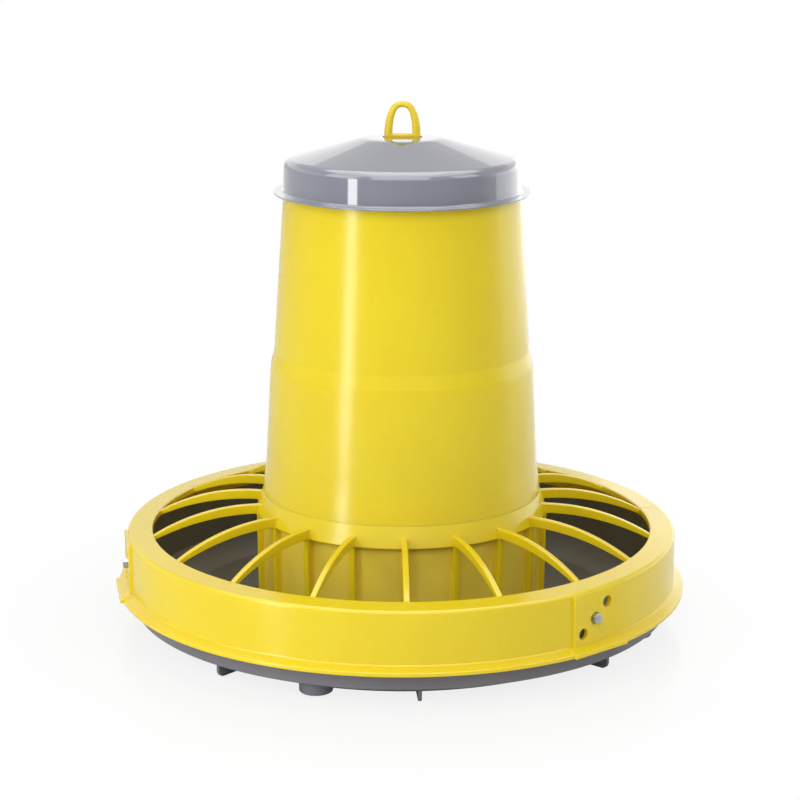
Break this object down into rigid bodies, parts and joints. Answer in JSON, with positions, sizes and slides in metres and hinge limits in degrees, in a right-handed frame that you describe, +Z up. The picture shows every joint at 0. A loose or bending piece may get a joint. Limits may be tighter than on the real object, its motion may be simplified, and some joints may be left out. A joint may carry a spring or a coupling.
{
  "type": "poultry feeder",
  "caption": "Hanging tube feeder for poultry: tapered hopper with a cone-topped lid and a loop, over a round pan under a rimmed guard of arched radial bars.",
  "frame": {"origin": "on the ground, under the middle of the pan", "axes": "+Z up along the feeder's axis, -Y towards the picture's viewer, where one bar lies, and +X to the right"},
  "size_m": [0.5026, 0.5, 0.454],
  "materials": {
    "yellow_plastic": "soft gloss",
    "hanger_plastic": "satin",
    "pan_plastic": "satin",
    "lid_plastic": "high gloss",
    "zinc_steel": "zinc plated"
  },
  "bodies": {
    "base": {"feed_pan": "pan_plastic", "guard_grid": "yellow_plastic", "setting_bolt_1": "zinc_steel", "setting_bolt_2": "zinc_steel", "setting_bolt_3": "zinc_steel", "setting_bush_1": "zinc_steel", "setting_bush_2": "zinc_steel", "setting_bush_3": "zinc_steel", "setting_washer_1": "zinc_steel", "setting_washer_2": "zinc_steel", "setting_washer_3": "zinc_steel", "setting_nut_1": "zinc_steel", "setting_nut_2": "zinc_steel", "setting_nut_3": "zinc_steel"},
    "hopper": {"hopper": "yellow_plastic", "hanger_yoke": "hanger_plastic"},
    "lid": {"lid": "lid_plastic"}
  },
  "joints": [
    {"name": "hopper_twist", "type": "hinge", "parent": "base", "child": "hopper", "pos_m": [0, 0, 0.1], "axis": [0, 0, 1], "range_deg": [0, 26]},
    {"name": "lid_lift", "type": "slide", "parent": "hopper", "child": "lid", "axis": [0, 0, 1], "range_m": [0, 0.11]}
  ]
}
